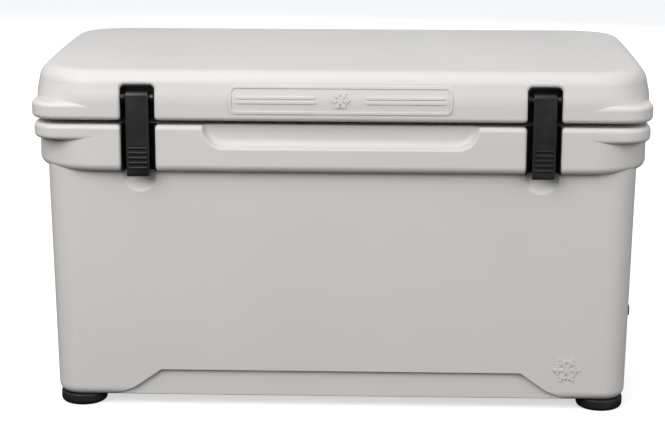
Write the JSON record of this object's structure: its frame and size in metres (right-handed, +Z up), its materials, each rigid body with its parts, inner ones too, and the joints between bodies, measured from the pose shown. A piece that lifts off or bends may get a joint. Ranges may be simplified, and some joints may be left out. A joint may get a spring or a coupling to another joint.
{
  "type": "cooler chest",
  "caption": "Insulated double-wall cooler chest with a hinged domed lid, rubber pull-down latches, round feet, a gasket and a screw-cap drain.",
  "frame": {"origin": "on the floor, under the middle of the chest", "axes": "+X to the right of someone facing the front, -Y out of the front, +Z up"},
  "size_m": [0.7815, 0.4357, 0.448],
  "materials": {
    "shell": "rotomoulded polyethylene, warm light grey, satin",
    "foam": "closed-cell polyurethane foam, poured in place",
    "steel": "stainless steel",
    "foot_rubber": "black moulded rubber",
    "seal_rubber": "soft dark seal rubber",
    "drain_plastic": "black nylon, fine grain",
    "hinge_plastic": "black glass-filled nylon",
    "latch_rubber": "black moulded latch rubber, satin",
    "liner_plastic": "black moulded liner, semi-gloss"
  },
  "bodies": {
    "chest": {"body_shell": "shell", "body_foam": "foam", "foot_front_left": "foot_rubber", "foot_front_right": "foot_rubber", "foot_rear_left": "foot_rubber", "foot_rear_right": "foot_rubber", "foot_screws": "steel", "keeper_left": "liner_plastic", "keeper_right": "liner_plastic", "keeper_screws": "steel", "hinge_body_leaf_left": "hinge_plastic", "hinge_body_leaf_right": "hinge_plastic", "hinge_body_screws": "steel", "hinge_pin_left": "steel", "hinge_pin_right": "steel", "drain_fitting": "drain_plastic", "drain_nut": "drain_plastic", "drain_gasket_outer": "seal_rubber", "drain_gasket_inner": "seal_rubber"},
    "lid": {"lid_shell": "shell", "lid_foam": "foam", "lid_gasket": "seal_rubber", "latch_bracket_left": "liner_plastic", "latch_bracket_right": "liner_plastic", "latch_bracket_screws": "steel", "latch_pin_left": "steel", "latch_pin_right": "steel", "hinge_lid_leaf_left": "hinge_plastic", "hinge_lid_leaf_right": "hinge_plastic", "hinge_lid_screws": "steel"},
    "left_latch": {"latch_left": "latch_rubber"},
    "right_latch": {"latch_right": "latch_rubber"},
    "drain_carrier": {"drain_seal": "seal_rubber"},
    "drain_cap_body": {"drain_cap": "drain_plastic"}
  },
  "joints": [
    {"name": "lid_hinge", "type": "hinge", "parent": "chest", "child": "lid", "pos_m": [0, 0.2135, 0.379], "axis": [-1, 0, 0], "range_deg": [0, 100]},
    {"name": "left_latch_pivot", "type": "hinge", "parent": "lid", "child": "left_latch", "pos_m": [-0.253, -0.203, 0.41], "axis": [-1, 0, 0], "range_deg": [0, 105]},
    {"name": "right_latch_pivot", "type": "hinge", "parent": "lid", "child": "right_latch", "pos_m": [0.253, -0.203, 0.41], "axis": [-1, 0, 0], "range_deg": [0, 105]},
    {"name": "drain_travel", "type": "slide", "parent": "chest", "child": "drain_carrier", "axis": [1, 0, 0], "range_m": [0, 0.0091]},
    {"name": "drain_turn", "type": "hinge", "parent": "drain_carrier", "child": "drain_cap_body", "pos_m": [0.385, 0, 0.087], "axis": [1, 0, 0], "range_deg": [0, 1080]}
  ],
  "couplings": [
    {"joint": "drain_travel", "follows": "drain_turn", "m_per_rad": 0.00047746}
  ]
}
